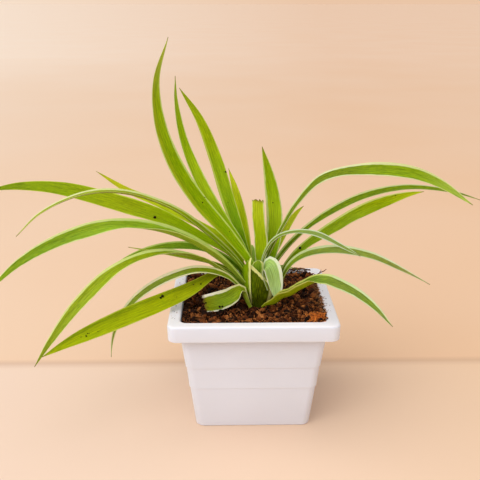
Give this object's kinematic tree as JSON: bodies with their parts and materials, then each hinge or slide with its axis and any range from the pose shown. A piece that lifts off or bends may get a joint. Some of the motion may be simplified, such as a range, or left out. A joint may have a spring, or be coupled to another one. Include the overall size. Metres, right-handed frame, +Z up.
{
  "type": "potted spider plant",
  "caption": "Young spider plant with arching, pale-edged strap leaves, rooted in dark coir soil in a square, tapered white pot with a wide rim.",
  "frame": {"origin": "centre of the pot's underside, on the surface the pot stands on", "axes": "+Z up, +X to the right of the picture and -Y towards its viewer, both square to the pot's sides"},
  "size_m": [0.3714, 0.1885, 0.2773],
  "materials": {
    "pot": "satin white",
    "soil": "moist dark brown coir and peat",
    "crown": "smooth green leaf sheaths with pale margins",
    "leaf": "satin green with pale cream margins"
  },
  "bodies": {
    "root": {"pot": "pot", "soil": "soil", "crown": "crown", "leaf_back_left": "leaf", "leaf_back_low_left": "leaf", "leaf_back_low_middle": "leaf", "leaf_back_low_right": "leaf", "leaf_back_right_small": "leaf", "leaf_cut_upright": "leaf", "leaf_front_left_broad": "leaf", "leaf_front_left_creased": "leaf", "leaf_front_left_thin": "leaf", "leaf_front_pale": "leaf", "leaf_front_right_low": "leaf", "leaf_front_young": "leaf", "leaf_left_arch": "leaf", "leaf_left_broad": "leaf", "leaf_left_dark": "leaf", "leaf_left_droop": "leaf", "leaf_left_edge": "leaf", "leaf_left_sliver": "leaf", "leaf_right_broad": "leaf", "leaf_right_grey": "leaf", "leaf_right_high": "leaf", "leaf_right_low": "leaf", "leaf_right_middle": "leaf", "leaf_tall_left": "leaf", "leaf_tall_second": "leaf", "leaf_tall_short": "leaf", "leaf_tall_third": "leaf", "leaf_upright_right": "leaf"}
  },
  "joints": []
}
